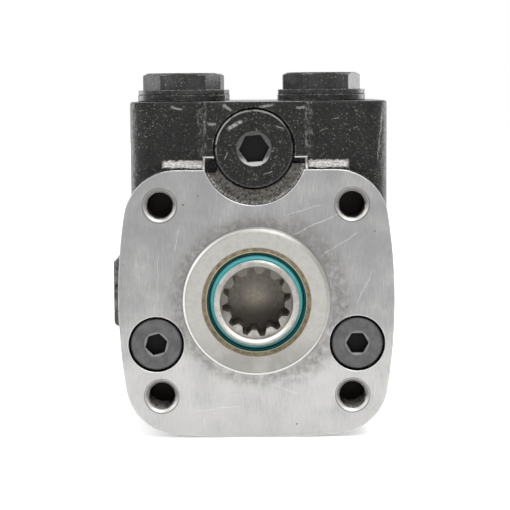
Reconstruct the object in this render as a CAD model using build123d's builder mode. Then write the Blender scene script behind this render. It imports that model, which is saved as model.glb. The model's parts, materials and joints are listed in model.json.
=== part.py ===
from build123d import *
from math import atan2, cos, degrees, hypot, pi, radians, sin
import os

os.makedirs("parts", exist_ok=True)

# Orbital steering unit, millimetres. The spool axis is the Y axis, the ports point up (+Z),
# and Y = 0 is the machined face of the mounting flange, which looks along -Y.

# Mounting flange
flange_thickness = 13.0
flange_half_width = 42.1
flange_side_radius = 170.0
flange_top = 39.8
flange_bottom = 42.1
flange_bottom_radius = 377.0
flange_top_corner = 16.0
flange_bottom_corner = 16.5
flange_back_fillet = 1.5
column_bolt_circle = 82.5
column_bolt_tap = 4.25
column_bolt_mouth = 5.1
column_bolt_depth = 18.0
column_boss_radius = 8.5
column_boss_end = 22.0

# Cast body behind the flange
housing_length = 98.0
barrel_radius = 39.4
collar_length = 14.0
block_left = 38.65
block_right = 40.7
block_top = 60.4
block_front = 7.0
block_length = 71.0
block_corner = 8.0
block_edge_fillet = 0.8
ledge_slope = 18.0
ledge_half_width = 28.5
side_pad_reach = 44.6
side_pad_top = 10.9
side_pad_bottom = 8.6
side_pad_front = 15.0
side_pad_length = 24.0
side_pad_root = 8.0
side_pad_draft = 6.0
side_pad_fillet = 1.5
embed = 2.0

# Clearances
press_gap = 0.02
running_gap = 0.03
loose_gap = 0.3
face_gap = 0.02
neck_gap = 0.15
stop_gap = 0.1
ball_seat_gap = 0.2

# Pilot boss and spool mouth
pilot_radius = 22.35
pilot_height = 3.6
pilot_chamfer = 1.0
mouth_radius = 16.5
mouth_depth = 5.6
seal_case_wall = 1.4

# Steering column socket in the spool: 12 teeth, 16/32 pitch
spool_proud = 2.2
neck_radius = 12.92
socket_mouth = 11.1
socket_mouth_depth = 2.6
socket_teeth = 12
socket_major = 10.55
socket_minor = 8.65
socket_root_width = 1.5
socket_tip_width = 3.2
socket_turn = 10.0
socket_floor = 14.0
socket_root_fillet = 0.55
neck_edge = 0.6

# Shaft seal
seal_groove_start = 4.0
seal_groove_width = 3.6
seal_groove_radius = 15.6
shaft_seal_wall = 0.95

# Thrust bearing in front of the sleeve
bearing_shoulder = 10.0
race_outer_radius = 18.9
race_inner_radius = 13.3
outer_race_thickness = 1.5
inner_race_thickness = 2.5
needle_radius = 1.0
needle_length = 3.6
needle_count = 16
needle_start = 14.3
cage_thickness = 1.5

# Rotary valve
spool_radius = 15.0
sleeve_radius = 19.0
sleeve_nose_radius = 17.5
sleeve_nose_length = 10.6
retaining_ring_length = 10.2
retaining_ring_radius = 18.8
cardan_bore = 11.1
cardan_bore_start = 26.5
leaf_thickness = 0.7
leaf_width = 7.0
leaf_length = 34.0
leaf_bow = 0.55
leaf_start = 1.2
cross_pin_radius = 4.0
cross_pin_station = 33.0
cross_pin_length = 37.0
spool_pin_hole = 6.25
gallery_stations = (44.0, 54.0, 65.0, 76.0)
gallery_radius = 24.0
gallery_width = 6.0
sleeve_hole = 2.0
sleeve_holes_per_row = 6
commutator_depth = 9.5
commutator_holes = 12
spool_slots = 12
spool_slot_width = 3.0
spool_slot_depth = 1.2
spool_long_slot_start = 50.0
spool_short_slot_start = 72.0
spool_slot_overrun = 2.5
return_groove_width = 5.0

# Gear set: seven ring lobes, six rotor lobes
ring_lobes = 7
gear_width = 16.2
lobe_circle = 34.0
lobe_radius = 9.0
eccentricity = 3.6
rotor_gap = 0.05
plate_thickness = 7.0
plate_bore = 13.0
chamber_hole = 3.0
chamber_hole_circle = 27.0
chamber_channel_depth = 13.0
cover_thickness = 18.8
cover_chamfer = 1.5

# Face seals between housing, plate, gear ring and cover
face_seal_circle = 39.6
face_seal_width = 2.0
face_seal_depth = 1.3

# Cover screws, M8
screw_circle = 33.5
screw_radius = 4.0
screw_hole = 4.3
screw_thread_length = 18.0
screw_thread_runout = 2.0
screw_head_flats = 13.0
screw_head_height = 5.5
screw_washer_radius = 7.2
screw_washer_thickness = 1.2

# Cardan shaft and its splines
cardan_teeth = 12
rotor_spline_major = 11.4
rotor_spline_minor = 9.4
spline_clearance = 0.5
spline_flank_clearance = 0.38
spline_root_width = 3.6
spline_tip_width = 2.2
cardan_waist = 6.4
cardan_fork_radius = 8.0
cardan_fork_start = 27.4
cardan_fork_end = 44.0
cardan_slot_gap = 0.1
cardan_head_length = 11.6
spacer_radius = 8.6
spacer_thickness = 3.0

# Check valve behind one cover screw
check_index = 3
bush_radius = 5.0
bush_depth = 4.0
bush_length = 14.0
check_ball_radius = 4.25
check_seat_depth = 32.0
check_ball_lift = 2.0
check_passage = 2.6
check_passage_length = 8.0
check_pin_radius = 1.8
check_shank_in_bush = 10.0

# Suction valves
suction_indices = (1, 6)
suction_circle = 24.8
suction_hole = 3.3
suction_ball_radius = 3.0
suction_seat_depth = 14.0
suction_ball_lift = 1.5
suction_passage = 1.8
suction_passage_length = 3.0

# Adjusting springs of the relief and shock valves
spring_turns = 4

# Relief valve in the front boss of the port block
relief_x = -0.4
relief_z = 46.1
boss_half_width = 16.2
boss_front = 2.5
boss_underside = 43.4
boss_offset = 0.5
boss_corner = 3.0
relief_recess = 15.9
relief_recess_z = 45.0
relief_recess_depth = 5.0
recess_pocket_x = -13.5
recess_pocket_z = 40.75
recess_pocket_width = 3.8
recess_pocket_height = 4.1
recess_pocket_depth = 8.5
recess_pocket_corner = 1.0
relief_counterbore = 12.5
relief_counterbore_floor = 8.5
relief_head = 11.9
relief_head_front = 3.2
relief_washer_thickness = 1.4
relief_thread = 9.0
relief_thread_end = 21.0
relief_bore = 6.0
relief_bore_end = 50.0
relief_socket = 8.0
relief_socket_turn = 4.0
relief_shank_gap = 4.0
relief_screw_start = 24.0
relief_screw_length = 7.0
relief_screw_socket = 5.0
relief_spring_radius = 4.4
relief_spring_wire = 1.6
relief_piston_radius = 5.8
relief_piston_length = 8.0
relief_passage = 3.0
relief_passage_length = 8.0

# Shock valves behind the flange, one on each side
shock_x = 30.65
shock_z = -13.2
shock_boss_radius = 11.5
shock_boss_end = 52.0
shock_counterbore = 8.5
shock_counterbore_floor = 6.0
shock_head = 7.8
shock_head_front = 0.15
shock_washer_thickness = 1.2
shock_thread = 6.0
shock_thread_end = 16.0
shock_bore = 4.6
shock_bore_end = 43.0
shock_socket = 6.0
shock_socket_turn = {"left": 15.0, "right": 0.0}
shock_shank_gap = 2.0
shock_screw_start = 18.5
shock_screw_length = 6.0
shock_screw_socket = 3.6
shock_spring_radius = 3.0
shock_spring_wire = 1.2
shock_ball_radius = 3.5
shock_ball_setback = 1.2
shock_passage = 2.4
shock_end_wall = 2.0

# Port plugs in the top of the block, G 1/2; each port leads to the gallery of its own turn
port_thread = 10.48
port_depth = 17.0
port_passage = 4.0
port_floor_rise = 1.0
port_lean = 0.5
plug_flats = 22.0
plug_corner_radius = 12.15
plug_hex_height = 5.3
plug_collar_radius = 13.6
plug_collar_height = 1.3
plug_shank_length = 13.0
washer_radius = 13.75
washer_thickness = 2.2
washer_bore = 10.9
crown_inset = 0.3
ports = {
    "left_front": (-22.9, 24.0, 4.0),
    "right_front": (20.8, 24.0, 6.5),
    "left_rear": (-22.1, 58.0, 17.0),
    "right_rear": (21.7, 58.0, -9.0),
}

# Stations along the spool axis that follow from the sizes above
mouth_start = -pilot_height
neck_front = mouth_start - spool_proud
mouth_end = mouth_start + mouth_depth
needle_plane = bearing_shoulder + outer_race_thickness + face_gap + needle_radius
inner_race_start = needle_plane + needle_radius + face_gap
sleeve_front = inner_race_start + inner_race_thickness
valve_end = housing_length - 2 * face_gap
commutator_station = housing_length - commutator_depth
spool_slot_end = commutator_station + spool_slot_overrun
return_groove_start = gallery_stations[0] - return_groove_width / 2
bush_end = housing_length - bush_depth
bush_start = bush_end - bush_length
check_seat_station = housing_length - check_seat_depth
suction_seat_station = housing_length - suction_seat_depth
plate_end = housing_length + plate_thickness
ring_end = plate_end + gear_width
cover_end = ring_end + cover_thickness
cardan_tilt = degrees(atan2(eccentricity, (plate_end + ring_end) / 2 - cross_pin_station))
spring_pack = 4 * leaf_thickness + 2 * (leaf_thickness + leaf_bow)
ring_pitch = 360 / ring_lobes
rotor_lobes = ring_lobes - 1
cardan_swing = cardan_fork_radius * sin(radians(cardan_tilt))
shank_front = bush_end - check_shank_in_bush


def seated(ball_radius, passage):
    """Distance from the mouth of a 45 degree seat to the centre of the ball in it."""
    return (ball_radius + ball_seat_gap) * 2**0.5 - passage


check_ball_station = check_seat_station + seated(check_ball_radius, check_passage)
suction_ball_station = suction_seat_station + seated(suction_ball_radius, suction_passage)


def across(station):
    """Plane square to the spool axis, seen from the flange side: extrude a negative amount to go rearwards."""
    return Plane.XZ.offset(-station)


def on_lobe(index, radius):
    """Place of a feature on one ring lobe, counted from the top."""
    angle = radians(90 + index * ring_pitch)
    return radius * cos(angle), radius * sin(angle)


def half_section(*corners, at=(0, 0)):
    """Closed profile of radius and station, for turning round an axis parallel to Y."""
    with BuildSketch(Plane((at[0], 0, at[1]))) as section:
        with BuildLine():
            Polyline(*corners, close=True)
        make_face()
    return section.sketch


def axis_at(x, z):
    """Axis parallel to the spool."""
    return Axis((x, 0, z), (0, 1, 0))


def tube_section(inner, outer, start, end, at=(0, 0)):
    """Profile of a plain ring or, with an inner radius of zero, a disc."""
    return half_section((inner, start), (outer, start), (outer, end), (inner, end), at=at)


def seal_section(mean, width, start, depth):
    """Squeezed O-ring lying in a face groove."""
    with BuildSketch() as section:
        with Locations((mean, start + depth / 2)):
            RectangleRounded(width, depth, min(width, depth) * 0.4)
    return section.sketch


def spline_profile(core, tip, root_width, tip_width, teeth, turn=0.0, tip_round=0.0):
    """Toothed outline: a core circle with straight-sided teeth that grow outwards, their tips rounded or not."""
    inner = core * 0.96
    with BuildSketch(Plane.XZ) as outline:
        Circle(core)
        with PolarLocations(0, teeth, start_angle=turn):
            Polygon(
                (inner, -root_width / 2),
                (tip, -tip_width / 2),
                (tip, tip_width / 2),
                (inner, root_width / 2),
                align=None,
            )
        if tip_round:
            fillet(outline.vertices().sort_by_distance((0, 0))[-2 * teeth :], tip_round)
    return outline.sketch


def hexagon(flats, turn=0.0):
    """Hexagon given across its flats."""
    return RegularPolygon(flats / 2, 6, major_radius=False, rotation=turn)


def crowned_hexagon(base, flats, height, corner_radius=None):
    """Hexagon head whose top corners are turned off at 30 degrees, and its upright edges at a radius or not."""
    reach = corner_radius or flats / 2 / cos(pi / 6) + 1
    crown = (reach - flats / 2 + crown_inset) * sin(pi / 6)
    with BuildPart() as head:
        with BuildSketch(base):
            hexagon(flats)
        extrude(amount=height)
        with BuildSketch(Plane(origin=base.origin, x_dir=base.x_dir, z_dir=-base.y_dir)):
            with BuildLine():
                Polyline(
                    (0, 0),
                    (reach, 0),
                    (reach, height - crown),
                    (flats / 2 - crown_inset, height),
                    (0, height),
                    close=True,
                )
            make_face()
        revolve(axis=Axis(base.origin, base.z_dir), mode=Mode.INTERSECT)
    return head.part


def save(part, name):
    """Write one finished piece."""
    part.label = name
    export_step(part, f"parts/{name}.step")


# ---------------------------------------------------------------- housing
bolt_square = column_bolt_circle / 2**0.5


def flange_outline():
    """Barrel-sided flange: bowed sides, flat top, slightly bowed foot, large corners."""
    side_centre = flange_half_width - flange_side_radius
    side_at = lambda z: side_centre + (flange_side_radius**2 - z**2) ** 0.5
    foot_drop = flange_half_width**2 / (2 * flange_bottom_radius)
    top_x = side_at(flange_top)
    foot_z = foot_drop - flange_bottom
    foot_x = side_at(foot_z)
    with BuildSketch(Plane.XZ) as outline:
        with BuildLine():
            Line((-top_x, flange_top), (top_x, flange_top))
            ThreePointArc((top_x, flange_top), (flange_half_width, 0), (foot_x, foot_z))
            ThreePointArc((foot_x, foot_z), (0, -flange_bottom), (-foot_x, foot_z))
            ThreePointArc((-foot_x, foot_z), (-flange_half_width, 0), (-top_x, flange_top))
        make_face()
        fillet(outline.vertices().group_by(Axis.Y)[-1], flange_top_corner)
        fillet(outline.vertices().group_by(Axis.Y)[0], flange_bottom_corner)
    return outline.sketch


# cast ledge that slopes up from the flange's top edge to the block
ledge_depth = block_front + embed / 2
with BuildPart() as ledge:
    extrude(flange_outline(), amount=-ledge_depth, taper=-ledge_slope)
    with Locations((0, ledge_depth / 2, flange_top)):
        Box(2 * ledge_half_width, ledge_depth, flange_top / 2, mode=Mode.INTERSECT)

with BuildPart() as housing:
    extrude(flange_outline(), amount=-flange_thickness)
    flange_back = housing.faces().sort_by(Axis.Y)[-1]
    fillet(flange_back.edges(), flange_back_fillet)

    # round barrel with a machined collar at the rear
    barrel_front = flange_thickness - embed
    with BuildSketch(across(barrel_front)):
        Circle(barrel_radius)
    extrude(amount=barrel_front - housing_length)
    with BuildSketch(across(housing_length - collar_length)):
        Circle(flange_bottom)
    extrude(amount=-collar_length)

    # port block
    with BuildSketch(Plane.XY):
        with Locations(((block_right - block_left) / 2, block_front + block_length / 2)):
            RectangleRounded(block_left + block_right, block_length, block_corner)
    extrude(amount=block_top)
    fillet(housing.faces().sort_by(Axis.Z)[-1].edges(), block_edge_fillet)

    # boss round the relief valve, proud of the block's front
    with BuildSketch(Plane.XY.offset(boss_underside)):
        with Locations((relief_x + boss_offset, boss_front + block_front)):
            RectangleRounded(2 * boss_half_width, 2 * block_front, boss_corner)
    extrude(amount=block_top - boss_underside)

    add(ledge.part)

    # bosses behind the column's tapped holes
    with BuildSketch(across(barrel_front)):
        with GridLocations(bolt_square, bolt_square, 2, 2):
            Circle(column_boss_radius)
    extrude(amount=barrel_front - column_boss_end)

    # bosses round the shock valves
    with BuildSketch(across(barrel_front)):
        with Locations((-shock_x, shock_z), (shock_x, shock_z)):
            Circle(shock_boss_radius)
    extrude(amount=barrel_front - shock_boss_end)

    # flat cast pad on the left side
    with BuildSketch(across(side_pad_front)):
        with BuildLine():
            Polyline(
                (side_pad_root - flange_half_width, side_pad_top + side_pad_draft),
                (-side_pad_reach, side_pad_top),
                (-side_pad_reach, -side_pad_bottom),
                (side_pad_root - flange_half_width, -side_pad_bottom - side_pad_draft),
                close=True,
            )
        make_face()
    extrude(amount=-side_pad_length)
    pad_face = housing.faces().sort_by(Axis.X)[0]
    fillet(pad_face.edges(), side_pad_fillet)

    # pilot boss
    revolve(
        half_section(
            (0, 1),
            (pilot_radius, 1),
            (pilot_radius, mouth_start + pilot_chamfer),
            (pilot_radius - pilot_chamfer, mouth_start),
            (0, mouth_start),
        ),
        axis=Axis.Y,
    )

    # stepped bore for seal, bearing and sleeve, with its ring galleries
    neck_bore = neck_radius + neck_gap
    sleeve_bore = sleeve_radius + running_gap
    revolve(
        half_section(
            (0, mouth_start - 1),
            (mouth_radius, mouth_start - 1),
            (mouth_radius, mouth_end),
            (neck_bore, mouth_end),
            (neck_bore, seal_groove_start),
            (seal_groove_radius, seal_groove_start),
            (seal_groove_radius, seal_groove_start + seal_groove_width),
            (neck_bore, seal_groove_start + seal_groove_width),
            (neck_bore, bearing_shoulder),
            (sleeve_bore, bearing_shoulder),
            (sleeve_bore, housing_length + 1),
            (0, housing_length + 1),
        ),
        axis=Axis.Y,
        mode=Mode.SUBTRACT,
    )
    for station in gallery_stations:
        gallery_ends = station - gallery_width / 2, station + gallery_width / 2
        revolve(tube_section(sleeve_bore - 1, gallery_radius, *gallery_ends), axis=Axis.Y, mode=Mode.SUBTRACT)

    # tapped holes for the steering column
    with BuildSketch(Plane.XZ):
        with GridLocations(bolt_square, bolt_square, 2, 2):
            Circle(column_bolt_tap)
    extrude(amount=-column_bolt_depth, mode=Mode.SUBTRACT)
    tap_edges = housing.edges().filter_by(GeomType.CIRCLE).filter_by(lambda e: abs(e.radius - column_bolt_tap) < 0.001)
    chamfer(tap_edges.group_by(Axis.Y)[0], column_bolt_mouth - column_bolt_tap)

    # relief valve: cast recess in the flange, counterbore, thread, spring bore, seat passage
    with BuildSketch(Plane.XZ):
        with Locations((relief_x, relief_recess_z)):
            Circle(relief_recess)
        with Locations((relief_x, boss_underside + relief_recess)):
            Rectangle(3 * relief_recess, 2 * relief_recess, mode=Mode.SUBTRACT)
    extrude(amount=-relief_recess_depth, mode=Mode.SUBTRACT)
    with BuildSketch(Plane.XZ):
        with Locations((recess_pocket_x, recess_pocket_z)):
            RectangleRounded(recess_pocket_width, recess_pocket_height, recess_pocket_corner)
    extrude(amount=-recess_pocket_depth, mode=Mode.SUBTRACT)
    revolve(
        half_section(
            (0, boss_front - 1),
            (relief_counterbore, boss_front - 1),
            (relief_counterbore, relief_counterbore_floor),
            (relief_thread, relief_counterbore_floor),
            (relief_thread, relief_thread_end),
            (relief_bore, relief_thread_end + relief_thread - relief_bore),
            (relief_bore, relief_bore_end),
            (relief_passage, relief_bore_end + relief_bore - relief_passage),
            (relief_passage, relief_bore_end + relief_passage_length),
            (0, relief_bore_end + relief_passage_length),
            at=(relief_x, relief_z),
        ),
        axis=axis_at(relief_x, relief_z),
        mode=Mode.SUBTRACT,
    )

    # shock valves
    for x in (-shock_x, shock_x):
        revolve(
            half_section(
                (0, -1),
                (shock_counterbore, -1),
                (shock_counterbore, shock_counterbore_floor),
                (shock_thread, shock_counterbore_floor),
                (shock_thread, shock_thread_end),
                (shock_bore, shock_thread_end + shock_thread - shock_bore),
                (shock_bore, shock_bore_end),
                (shock_passage, shock_bore_end + shock_bore - shock_passage),
                (shock_passage, shock_boss_end - shock_end_wall),
                (0, shock_boss_end - shock_end_wall),
                at=(x, shock_z),
            ),
            axis=axis_at(x, shock_z),
            mode=Mode.SUBTRACT,
        )

    # ports, and their slanting passages to the galleries
    for (x, y, turn), gallery_station in zip(ports.values(), gallery_stations):
        with BuildSketch(Plane((x, y, block_top))):
            Circle(port_thread)
        extrude(amount=-port_depth, mode=Mode.SUBTRACT)
        port_floor = Vector(x, y, block_top - port_depth + port_floor_rise)
        inlet = Vector(x * port_lean, gallery_station, sleeve_radius)
        with BuildSketch(Plane(origin=port_floor, z_dir=inlet - port_floor)):
            Circle(port_passage)
        extrude(amount=(inlet - port_floor).length, mode=Mode.SUBTRACT)

    # rear face: seal groove, screw threads, chamber channels
    revolve(
        tube_section(
            face_seal_circle - face_seal_width / 2 - press_gap,
            face_seal_circle + face_seal_width / 2 + press_gap,
            housing_length - face_seal_depth - press_gap,
            housing_length + 1,
        ),
        axis=Axis.Y,
        mode=Mode.SUBTRACT,
    )
    with BuildSketch(across(housing_length)):
        for index in range(ring_lobes):
            with Locations(on_lobe(index, screw_circle)):
                Circle(screw_radius + press_gap)
    extrude(amount=screw_thread_length + screw_thread_runout, mode=Mode.SUBTRACT)
    with BuildSketch(across(housing_length)):
        for index in range(ring_lobes):
            with Locations(on_lobe(index + 0.5, chamber_hole_circle)):
                Circle(chamber_hole)
    extrude(amount=chamber_channel_depth, mode=Mode.SUBTRACT)
    for index in range(ring_lobes):
        mouth_x, mouth_z = on_lobe(index + 0.5, chamber_hole_circle)
        with BuildSketch(Plane((mouth_x, commutator_station, mouth_z), z_dir=(-mouth_x, 0, -mouth_z))):
            Circle(sleeve_hole)
        extrude(amount=chamber_hole_circle - sleeve_radius + 1, mode=Mode.SUBTRACT)

    # check valve bore behind one screw
    check_x, check_z = on_lobe(check_index, screw_circle)
    revolve(
        half_section(
            (0, housing_length + 1),
            (bush_radius + press_gap, housing_length + 1),
            (bush_radius + press_gap, bush_start),
            (check_ball_radius + loose_gap, bush_start),
            (check_ball_radius + loose_gap, check_seat_station + check_ball_radius - check_passage),
            (check_passage, check_seat_station),
            (check_passage, check_seat_station - check_passage_length),
            (0, check_seat_station - check_passage_length),
            at=(check_x, check_z),
        ),
        axis=axis_at(check_x, check_z),
        mode=Mode.SUBTRACT,
    )

    # suction valve bores
    for index in suction_indices:
        hole_x, hole_z = on_lobe(index, suction_circle)
        revolve(
            half_section(
                (0, housing_length + 1),
                (suction_hole, housing_length + 1),
                (suction_hole, suction_seat_station + suction_hole - suction_passage),
                (suction_passage, suction_seat_station),
                (suction_passage, suction_seat_station - suction_passage_length),
                (0, suction_seat_station - suction_passage_length),
                at=(hole_x, hole_z),
            ),
            axis=axis_at(hole_x, hole_z),
            mode=Mode.SUBTRACT,
        )
save(housing.part, "housing")

# ---------------------------------------------------------------- distributor plate, gear ring, cover


def bolted_disc(inner, start, end):
    """Round plate of the gear end with a hole for every cover screw."""
    with BuildPart() as disc:
        with BuildSketch(across(start)):
            Circle(flange_bottom)
            if inner:
                Circle(inner, mode=Mode.SUBTRACT)
            for index in range(ring_lobes):
                with Locations(on_lobe(index, screw_circle)):
                    Circle(screw_hole, mode=Mode.SUBTRACT)
        extrude(amount=start - end)
    return disc.part


def face_groove(face, depth):
    """Seal groove cut into a face; a negative depth cuts towards the front."""
    inner = face_seal_circle - face_seal_width / 2 - press_gap
    outer = face_seal_circle + face_seal_width / 2 + press_gap
    return tube_section(inner, outer, face, face + depth)


with BuildPart() as distributor_plate:
    add(bolted_disc(plate_bore, housing_length, plate_end))
    with BuildSketch(across(housing_length)):
        for index in range(ring_lobes):
            with Locations(on_lobe(index + 0.5, chamber_hole_circle)):
                Circle(chamber_hole)
    extrude(amount=-plate_thickness, mode=Mode.SUBTRACT)
save(distributor_plate.part, "distributor_plate")

with BuildPart() as gear_ring:
    add(bolted_disc(0, plate_end, ring_end))
    with BuildSketch(across(plate_end)):
        Circle(lobe_circle - lobe_radius + 2 * eccentricity + rotor_gap)
        for index in range(ring_lobes):
            with Locations(on_lobe(index, lobe_circle)):
                Circle(lobe_radius, mode=Mode.SUBTRACT)
    extrude(amount=-gear_width, mode=Mode.SUBTRACT)
    for face, depth in ((plate_end, face_seal_depth + press_gap), (ring_end, -face_seal_depth - press_gap)):
        revolve(face_groove(face, depth), axis=Axis.Y, mode=Mode.SUBTRACT)
save(gear_ring.part, "gear_ring")

with BuildPart() as end_cover:
    add(bolted_disc(0, ring_end, cover_end))
    rim = end_cover.edges().filter_by(GeomType.CIRCLE).filter_by(lambda e: e.radius > screw_circle)
    chamfer(rim.sort_by(Axis.Y)[-1], cover_chamfer)
save(end_cover.part, "end_cover")

face_seals = {
    "housing_face_seal": housing_length - face_seal_depth,
    "ring_front_seal": plate_end,
    "ring_rear_seal": ring_end - face_seal_depth,
}
for name, start in face_seals.items():
    with BuildPart() as face_seal:
        revolve(seal_section(face_seal_circle, face_seal_width, start, face_seal_depth), axis=Axis.Y)
    save(face_seal.part, name)

# ---------------------------------------------------------------- cover screws and washers
head_plane = cover_end + screw_washer_thickness
other_screws = [index for index in range(ring_lobes) if index != check_index]

with BuildPart() as cover_screws:
    for index in other_screws:
        head_x, head_z = on_lobe(index, screw_circle)
        add(crowned_hexagon(Plane((head_x, head_plane, head_z), z_dir=(0, 1, 0)), screw_head_flats, screw_head_height))
        with BuildSketch(across(housing_length - screw_thread_length)):
            with Locations(on_lobe(index, screw_circle)):
                Circle(screw_radius)
        extrude(amount=housing_length - screw_thread_length - head_plane)
save(cover_screws.part, "cover_screws")

with BuildPart() as check_valve_screw:
    head_x, head_z = on_lobe(check_index, screw_circle)
    add(crowned_hexagon(Plane((head_x, head_plane, head_z), z_dir=(0, 1, 0)), screw_head_flats, screw_head_height))
    with BuildSketch(across(shank_front)):
        with Locations(on_lobe(check_index, screw_circle)):
            Circle(screw_radius)
    extrude(amount=shank_front - head_plane)
    check_pin_end = check_ball_station + check_ball_radius + check_ball_lift + stop_gap
    with BuildSketch(across(check_pin_end)):
        with Locations(on_lobe(check_index, screw_circle)):
            Circle(check_pin_radius)
    extrude(amount=check_pin_end - shank_front)
save(check_valve_screw.part, "check_valve_screw")

with BuildPart() as cover_screw_washers:
    with BuildSketch(across(cover_end)):
        for index in range(ring_lobes):
            with Locations(on_lobe(index, screw_circle)):
                Circle(screw_washer_radius)
                Circle(screw_hole, mode=Mode.SUBTRACT)
    extrude(amount=-screw_washer_thickness)
save(cover_screw_washers.part, "cover_screw_washers")

# ---------------------------------------------------------------- check and suction valves
with BuildPart() as check_valve_bush:
    bush_at = on_lobe(check_index, screw_circle)
    revolve(
        tube_section(screw_radius + press_gap, bush_radius, bush_start, bush_end, at=bush_at),
        axis=axis_at(*bush_at),
    )
save(check_valve_bush.part, "check_valve_bush")


def ball(x, y, z, radius):
    """Loose valve ball."""
    with BuildPart(Plane((x, y, z))) as sphere:
        Sphere(radius)
    return sphere.part


save(ball(check_x, check_ball_station, check_z, check_ball_radius), "check_ball")

for side, index in zip(("left", "right"), suction_indices):
    hole_x, hole_z = on_lobe(index, suction_circle)
    save(ball(hole_x, suction_ball_station, hole_z, suction_ball_radius), f"suction_ball_{side}")
    pin_start = suction_ball_station + suction_ball_radius + suction_ball_lift + stop_gap
    with BuildPart() as suction_pin:
        with BuildSketch(across(pin_start)):
            with Locations((hole_x, hole_z)):
                Circle(suction_hole - loose_gap)
        extrude(amount=pin_start - housing_length)
    save(suction_pin.part, f"suction_pin_{side}")

# ---------------------------------------------------------------- spool mouth seals
with BuildPart() as dust_seal_case:
    revolve(
        half_section(
            (mouth_radius - seal_case_wall, mouth_start + 0.5),
            (mouth_radius - press_gap, mouth_start + 0.3),
            (mouth_radius - press_gap, mouth_end),
            (neck_radius + 0.6, mouth_end),
            (neck_radius + 0.6, mouth_end - 0.6),
            (mouth_radius - seal_case_wall, mouth_end - 0.6),
        ),
        axis=Axis.Y,
    )
save(dust_seal_case.part, "dust_seal_case")

with BuildPart() as dust_seal:
    seal_outer = mouth_radius - seal_case_wall - press_gap
    seal_inner = neck_radius + 0.08
    seal_back = mouth_end - 0.6 - press_gap
    revolve(
        half_section(
            (seal_outer, seal_back),
            (seal_outer, mouth_start + 1.3),
            (seal_outer - 0.5, mouth_start + 1.0),
            (seal_outer - 0.8, mouth_start + 1.9),
            (seal_outer - 1.3, mouth_start + 0.3),
            (seal_inner, mouth_start + 0.1),
            (seal_inner, mouth_start + 1.4),
            (seal_inner + 0.35, mouth_start + 2.6),
            (seal_inner + 0.35, seal_back),
        ),
        axis=Axis.Y,
    )
save(dust_seal.part, "dust_seal")

with BuildPart() as shaft_seal_ring:
    ring_inner = neck_radius + 0.05
    revolve(
        tube_section(
            ring_inner,
            ring_inner + shaft_seal_wall,
            seal_groove_start + 0.2,
            seal_groove_start + seal_groove_width - 0.2,
        ),
        axis=Axis.Y,
    )
save(shaft_seal_ring.part, "shaft_seal_ring")

with BuildPart() as shaft_seal_backing_ring:
    backing_inner = neck_radius + 0.05 + shaft_seal_wall + press_gap
    backing_outer = seal_groove_radius - press_gap
    with BuildSketch():
        with Locations(((backing_inner + backing_outer) / 2, seal_groove_start + seal_groove_width / 2)):
            RectangleRounded(backing_outer - backing_inner, 2.2, 0.6)
    revolve(axis=Axis.Y)
save(shaft_seal_backing_ring.part, "shaft_seal_backing_ring")

# ---------------------------------------------------------------- thrust bearing
with BuildPart() as bearing_outer_race:
    outer_race_end = bearing_shoulder + outer_race_thickness
    revolve(
        tube_section(race_inner_radius, race_outer_radius, bearing_shoulder, outer_race_end),
        axis=Axis.Y,
    )
save(bearing_outer_race.part, "bearing_outer_race")

with BuildPart() as bearing_inner_race:
    revolve(
        half_section(
            (race_inner_radius, inner_race_start),
            (race_outer_radius, inner_race_start),
            (race_outer_radius, sleeve_front - 1),
            (race_outer_radius - 1, sleeve_front),
            (race_inner_radius, sleeve_front),
        ),
        axis=Axis.Y,
    )
save(bearing_inner_race.part, "bearing_inner_race")

with BuildPart() as needle_cage:
    cage_start = needle_plane - cage_thickness / 2
    revolve(
        tube_section(needle_start - 0.6, needle_start + needle_length + 0.6, cage_start, cage_start + cage_thickness),
        axis=Axis.Y,
    )
    with BuildSketch(across(cage_start)):
        with PolarLocations(needle_start + needle_length / 2, needle_count):
            Rectangle(needle_length + 0.1, 2 * needle_radius + 0.1)
    extrude(amount=-cage_thickness, mode=Mode.SUBTRACT)
save(needle_cage.part, "needle_cage")

with BuildPart() as needle_rollers:
    for index in range(needle_count):
        angle = radians(index * 360 / needle_count)
        spoke = Vector(cos(angle), 0, sin(angle))
        with BuildSketch(Plane(origin=spoke * needle_start + Vector(0, needle_plane, 0), z_dir=spoke)):
            Circle(needle_radius)
        extrude(amount=needle_length)
save(needle_rollers.part, "needle_rollers")

# ---------------------------------------------------------------- rotary valve: sleeve, spool, springs, pin
leaf_from = sleeve_front + leaf_start
leaf_to = leaf_from + leaf_width
slot_height = spring_pack + 2 * press_gap

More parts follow.
